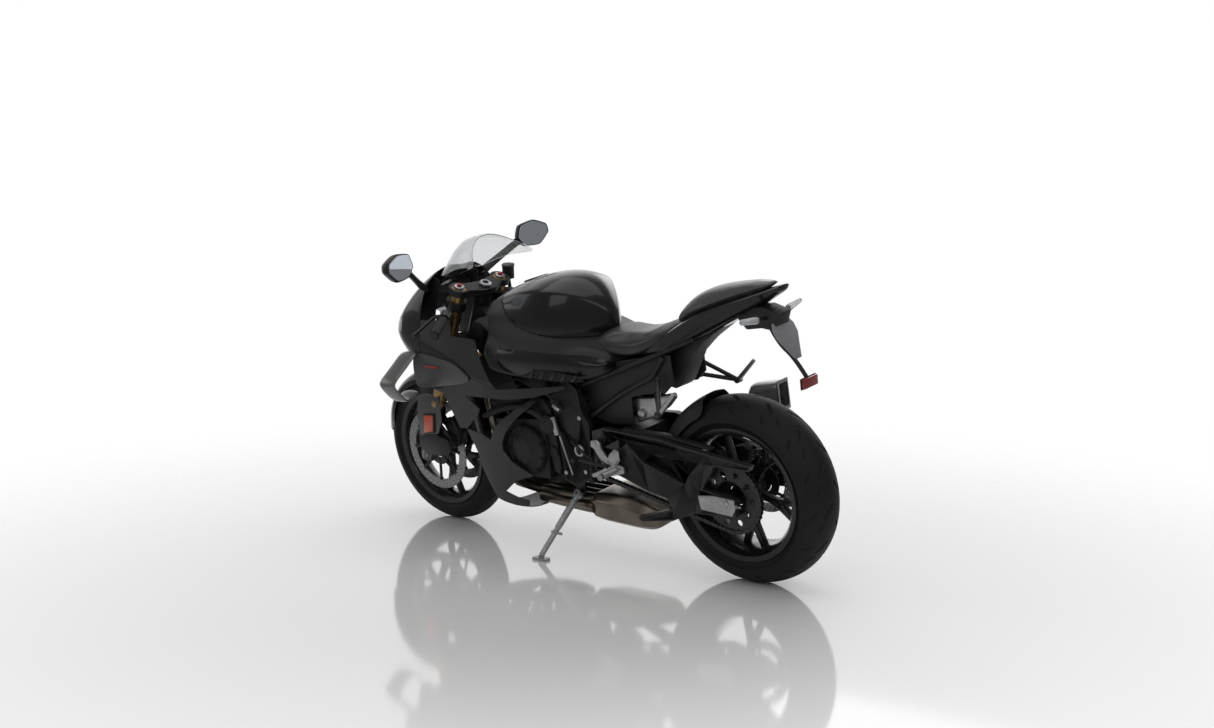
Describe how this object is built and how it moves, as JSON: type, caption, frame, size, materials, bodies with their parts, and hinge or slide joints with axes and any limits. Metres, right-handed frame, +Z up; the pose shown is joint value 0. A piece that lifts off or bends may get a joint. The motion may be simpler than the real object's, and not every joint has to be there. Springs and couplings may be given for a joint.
{
  "type": "sport motorcycle",
  "caption": "Faired sport motorcycle with winglets and single-piece bodywork, leaning on its side stand; wheels spin, bars steer and the stand folds.",
  "frame": {"origin": "middle of the floor area that the parked bike covers, on the floor under its tyres and stand", "axes": "+X to the front of the bike, +Y to the rider's left, +Z up; the bike leans to its left by 9.34 degrees"},
  "size_m": [2.0888, 0.8548, 1.1716],
  "materials": {
    "tyre_black": "matt tyre rubber",
    "wheel_black": "satin black painted aluminium",
    "disc_steel": "ground steel",
    "chain_steel": "dark oiled steel",
    "gloss_black": "gloss metallic black paint",
    "matt_grey": "matt dark grey",
    "matt_black": "matt black plastic",
    "frame_black": "satin dark painted aluminium",
    "fork_gold": "gold anodised",
    "fork_grey": "grey cast aluminium",
    "bare_alu": "bare aluminium",
    "engine_dark": "dark cast aluminium",
    "grip_rubber": "rubber",
    "seat_cover": "black seat cover",
    "smoke_glass": "clear acrylic",
    "lamp_glass": "clear lamp lens",
    "lamp_red": "red lens",
    "titanium": "heat-tinted steel",
    "silencer_grey": "satin steel",
    "stand_steel": "silver grey paint",
    "shock_metal": "bare steel and alloy",
    "display_face": "black display"
  },
  "bodies": {
    "chassis": {"drive_chain": "chain_steel", "side_panels": "gloss_black", "nose_cowl": "gloss_black", "headlamps": "lamp_glass", "windscreen": "smoke_glass", "winglets": "matt_grey", "belly_pan": "gloss_black", "fuel_tank": "gloss_black", "tank_cover": "matt_black", "rider_seat": "seat_cover", "tail_body": "gloss_black", "passenger_seat": "seat_cover", "rear_inner_fender": "matt_black", "plate_hanger": "matt_grey", "rear_lamps": "lamp_red", "main_frame": "frame_black", "rear_subframe": "frame_black", "engine_block": "engine_dark", "engine_covers": "engine_dark", "radiator": "matt_black", "exhaust_box": "titanium", "exhaust_headers": "titanium", "silencer": "silencer_grey", "swingarm": "frame_black", "pivot_shaft": "bare_alu", "rear_axle": "bare_alu", "rear_hugger": "matt_black", "rear_shock": "shock_metal", "rear_caliper": "frame_black", "rider_pegs": "bare_alu", "passenger_peg_hangers": "bare_alu", "display": "display_face", "cockpit_stay": "matt_black", "mirrors": "gloss_black"},
    "steering": {"upper_clamp": "frame_black", "lower_clamp": "frame_black", "fork_tubes": "fork_gold", "fork_bottoms": "fork_grey", "front_axle": "bare_alu", "clip_ons": "frame_black", "grips": "grip_rubber", "bar_controls": "matt_black", "front_mudguard": "gloss_black", "front_calipers": "frame_black"},
    "front_wheel": {"front_tyre": "tyre_black", "front_rim": "wheel_black", "front_discs": "disc_steel"},
    "rear_wheel": {"rear_tyre": "tyre_black", "rear_rim": "wheel_black", "rear_disc": "disc_steel", "rear_sprocket": "chain_steel"},
    "side_stand": {"side_stand": "stand_steel"}
  },
  "joints": [
    {"name": "steering_turn", "type": "hinge", "parent": "chassis", "child": "steering", "pos_m": [0.46092, -0.0207, 0.84011], "axis": [-0.4003, 0.1487, 0.9042], "range_deg": [-24, 24]},
    {"name": "front_wheel_spin", "type": "hinge", "parent": "steering", "child": "front_wheel", "pos_m": [0.73248, -0.10996, 0.2974], "axis": [0, 0.9867, -0.1623], "continuous": true},
    {"name": "rear_wheel_spin", "type": "hinge", "parent": "chassis", "child": "rear_wheel", "pos_m": [-0.72452, -0.10671, 0.31714], "axis": [0, 0.9867, -0.1623], "continuous": true},
    {"name": "side_stand_fold", "type": "hinge", "parent": "chassis", "child": "side_stand", "pos_m": [-0.03952, -0.01378, 0.21672], "axis": [0.1016, 0.8142, 0.5716], "range_deg": [0, 87]}
  ]
}
